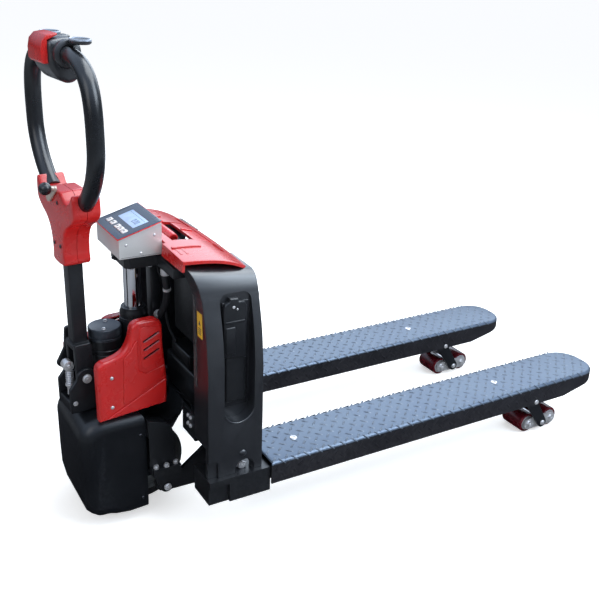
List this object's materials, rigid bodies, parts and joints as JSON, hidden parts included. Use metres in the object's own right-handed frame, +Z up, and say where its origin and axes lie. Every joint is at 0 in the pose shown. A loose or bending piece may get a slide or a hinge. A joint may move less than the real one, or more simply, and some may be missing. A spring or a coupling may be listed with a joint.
{
  "type": "pallet scale",
  "caption": "Powered pallet truck with a weighing indicator, tread-plate forks on load cells, tandem rollers, hydraulic lift and a loop tiller.",
  "frame": {"origin": "on the floor, midway along, across the truck's centre plane", "axes": "+Z up, +Y towards the fork tips, +X to the right of someone at the tiller who faces the forks"},
  "size_m": [0.58, 1.5904, 1.163],
  "materials": {
    "black_paint": "satin black paint",
    "body_plastic": "fine-grained black plastic",
    "red_plastic": "glossy red plastic",
    "deck_paint": "blue-black painted tread plate",
    "chrome": "hard chrome",
    "zinc_steel": "zinc-plated steel",
    "stainless": "brushed stainless sheet",
    "roller_pu": "dark red polyurethane",
    "tyre": "dark grey rubber",
    "hub_casting": "grey cast hub",
    "face_film": "printed film, blue-black",
    "lcd": "lit pale blue display",
    "key_white": "white membrane key",
    "rubber": "black rubber"
  },
  "bodies": {
    "yoke": {"steer_yoke": "black_paint", "wheel_cover": "body_plastic"},
    "drive": {"drive_fork": "black_paint", "pump_body": "black_paint", "cylinder_collar": "black_paint", "pump_motor": "black_paint", "motor_cap": "black_paint", "pump_cover_right": "red_plastic", "pump_cover_left": "red_plastic", "tiller_base": "black_paint", "tiller_pivot_pin": "zinc_steel"},
    "drive_wheel": {"drive_tyre": "tyre", "drive_hub": "hub_casting"},
    "tiller": {"tiller_tube": "black_paint", "head_bracket": "red_plastic", "loop_handle": "rubber", "control_head": "body_plastic"},
    "plunger": {"pump_plunger": "zinc_steel"},
    "pedal": {"lowering_pedal": "black_paint"},
    "throttle": {"throttle_right": "body_plastic", "throttle_left": "body_plastic"},
    "belly_switch": {"reversing_button": "red_plastic"},
    "horn": {"horn_button": "black_paint"},
    "lever": {"lowering_lever": "black_paint"},
    "chassis": {"body_shell_right": "body_plastic", "body_shell_left": "body_plastic", "cross_frame": "black_paint", "top_cover": "red_plastic", "lift_bracket": "black_paint", "piston": "chrome", "indicator_box": "stainless", "indicator_face": "face_film", "display_window": "lcd", "pump_hose": "rubber", "signal_cable": "rubber", "fork_beam_right": "black_paint", "fork_beam_left": "black_paint", "fork_deck_right": "deck_paint", "fork_deck_left": "deck_paint", "load_cell_right_1": "zinc_steel", "load_cell_right_2": "zinc_steel", "load_cell_left_1": "zinc_steel", "load_cell_left_2": "zinc_steel"},
    "rocker_shaft": {"rocker": "black_paint"},
    "rods": {"push_rod_right": "black_paint", "push_rod_left": "black_paint"},
    "battery": {"battery_pack": "black_paint"},
    "arm_right": {"roller_arm_right": "black_paint"},
    "bogie_right": {"bogie_right_link": "zinc_steel"},
    "roller_rear_right": {"load_roller_rear_right": "roller_pu"},
    "roller_front_right": {"load_roller_front_right": "roller_pu"},
    "arm_left": {"roller_arm_left": "black_paint"},
    "bogie_left": {"bogie_left_link": "zinc_steel"},
    "roller_rear_left": {"load_roller_rear_left": "roller_pu"},
    "roller_front_left": {"load_roller_front_left": "roller_pu"},
    "power_key": {"key_power": "key_white"},
    "zero_key": {"key_zero": "key_white"},
    "enter_key": {"key_enter": "key_white"},
    "next_key": {"key_next": "key_white"},
    "up_key": {"key_up": "key_white"}
  },
  "joints": [
    {"name": "steer", "type": "hinge", "parent": "yoke", "child": "drive", "pos_m": [0, -0.5848, 0.28], "axis": [0, 0, 1], "range_deg": [-90, 80]},
    {"name": "drive_wheel_spin", "type": "hinge", "parent": "drive", "child": "drive_wheel", "pos_m": [0, -0.5848, 0.105], "axis": [0.9962, 0.0872, 0], "continuous": true},
    {"name": "tiller_fold", "type": "hinge", "parent": "drive", "child": "tiller", "pos_m": [0.01246, -0.72726, 0.388], "axis": [0.9962, 0.0872, 0], "range_deg": [0, 75], "stiffness_Nm_per_rad": 30},
    {"name": "plunger_press", "type": "slide", "parent": "drive", "child": "plunger", "axis": [0, 0, 1], "range_m": [-0.019, 0.0002]},
    {"name": "pedal_press", "type": "hinge", "parent": "drive", "child": "pedal", "pos_m": [-0.03562, -0.72845, 0.388], "axis": [0.9962, 0.0872, 0], "range_deg": [0, 18], "stiffness_Nm_per_rad": 4},
    {"name": "throttle_turn", "type": "hinge", "parent": "tiller", "child": "throttle", "pos_m": [0.01177, -0.71929, 1.154], "axis": [0.9962, 0.0872, 0], "range_deg": [-25, 25], "stiffness_Nm_per_rad": 0.4},
    {"name": "reversing_press", "type": "slide", "parent": "tiller", "child": "belly_switch", "axis": [-0.0872, 0.9962, 0], "range_m": [0, 0.005], "stiffness_N_per_m": 800},
    {"name": "horn_press", "type": "slide", "parent": "tiller", "child": "horn", "axis": [0.0872, -0.9962, 0], "range_m": [0, 0.003], "stiffness_N_per_m": 500},
    {"name": "lowering_lever_turn", "type": "hinge", "parent": "tiller", "child": "lever", "pos_m": [-0.0097, -0.76081, 0.82], "axis": [-0.0872, 0.9962, 0], "range_deg": [0, 25], "stiffness_Nm_per_rad": 0.8},
    {"name": "lift", "type": "slide", "parent": "yoke", "child": "chassis", "axis": [0, 0, 1], "range_m": [-0.085, 0]},
    {"name": "rocker_swing", "type": "hinge", "parent": "chassis", "child": "rocker_shaft", "pos_m": [0, -0.4148, 0.175], "axis": [1, 0, 0], "range_deg": [-30, 0.5]},
    {"name": "rods_push", "type": "slide", "parent": "chassis", "child": "rods", "axis": [0, 1, 0], "range_m": [-0.024, 0.0005]},
    {"name": "battery_lift", "type": "slide", "parent": "chassis", "child": "battery", "axis": [0, 0, 1], "range_m": [0, 0.32]},
    {"name": "roller_arm_swing_right", "type": "hinge", "parent": "chassis", "child": "arm_right", "pos_m": [0.211, 0.5382, 0.122], "axis": [1, 0, 0], "range_deg": [-0.5, 53]},
    {"name": "bogie_rock_right", "type": "hinge", "parent": "arm_right", "child": "bogie_right", "pos_m": [0.211, 0.6002, 0.03], "axis": [1, 0, 0], "range_deg": [-53, 0.5]},
    {"name": "roller_spin_rear_right", "type": "hinge", "parent": "bogie_right", "child": "roller_rear_right", "pos_m": [0.211, 0.5562, 0.03], "axis": [1, 0, 0], "continuous": true},
    {"name": "roller_spin_front_right", "type": "hinge", "parent": "bogie_right", "child": "roller_front_right", "pos_m": [0.211, 0.6442, 0.03], "axis": [1, 0, 0], "continuous": true},
    {"name": "roller_arm_swing_left", "type": "hinge", "parent": "chassis", "child": "arm_left", "pos_m": [-0.211, 0.5382, 0.122], "axis": [1, 0, 0], "range_deg": [-0.5, 53]},
    {"name": "bogie_rock_left", "type": "hinge", "parent": "arm_left", "child": "bogie_left", "pos_m": [-0.211, 0.6002, 0.03], "axis": [1, 0, 0], "range_deg": [-53, 0.5]},
    {"name": "roller_spin_rear_left", "type": "hinge", "parent": "bogie_left", "child": "roller_rear_left", "pos_m": [-0.211, 0.5562, 0.03], "axis": [1, 0, 0], "continuous": true},
    {"name": "roller_spin_front_left", "type": "hinge", "parent": "bogie_left", "child": "roller_front_left", "pos_m": [-0.211, 0.6442, 0.03], "axis": [1, 0, 0], "continuous": true},
    {"name": "key_power_press", "type": "slide", "parent": "chassis", "child": "power_key", "axis": [0, 0.2796, -0.9601], "range_m": [0, 0.001], "stiffness_N_per_m": 300},
    {"name": "key_zero_press", "type": "slide", "parent": "chassis", "child": "zero_key", "axis": [0, 0.2796, -0.9601], "range_m": [0, 0.001], "stiffness_N_per_m": 300},
    {"name": "key_enter_press", "type": "slide", "parent": "chassis", "child": "enter_key", "axis": [0, 0.2796, -0.9601], "range_m": [0, 0.001], "stiffness_N_per_m": 300},
    {"name": "key_next_press", "type": "slide", "parent": "chassis", "child": "next_key", "axis": [0, 0.2796, -0.9601], "range_m": [0, 0.001], "stiffness_N_per_m": 300},
    {"name": "key_up_press", "type": "slide", "parent": "chassis", "child": "up_key", "axis": [0, 0.2796, -0.9601], "range_m": [0, 0.001], "stiffness_N_per_m": 300}
  ],
  "couplings": [
    {"joint": "plunger_press", "follows": "tiller_fold", "m_per_rad": -0.0143},
    {"joint": "rocker_swing", "follows": "lift", "rad_per_m": 6.018},
    {"joint": "rods_push", "follows": "lift", "ratio": 0.2764},
    {"joint": "roller_arm_swing_right", "follows": "lift", "rad_per_m": -10.76},
    {"joint": "bogie_rock_right", "follows": "lift", "rad_per_m": 10.76},
    {"joint": "roller_arm_swing_left", "follows": "lift", "rad_per_m": -10.76},
    {"joint": "bogie_rock_left", "follows": "lift", "rad_per_m": 10.76}
  ]
}
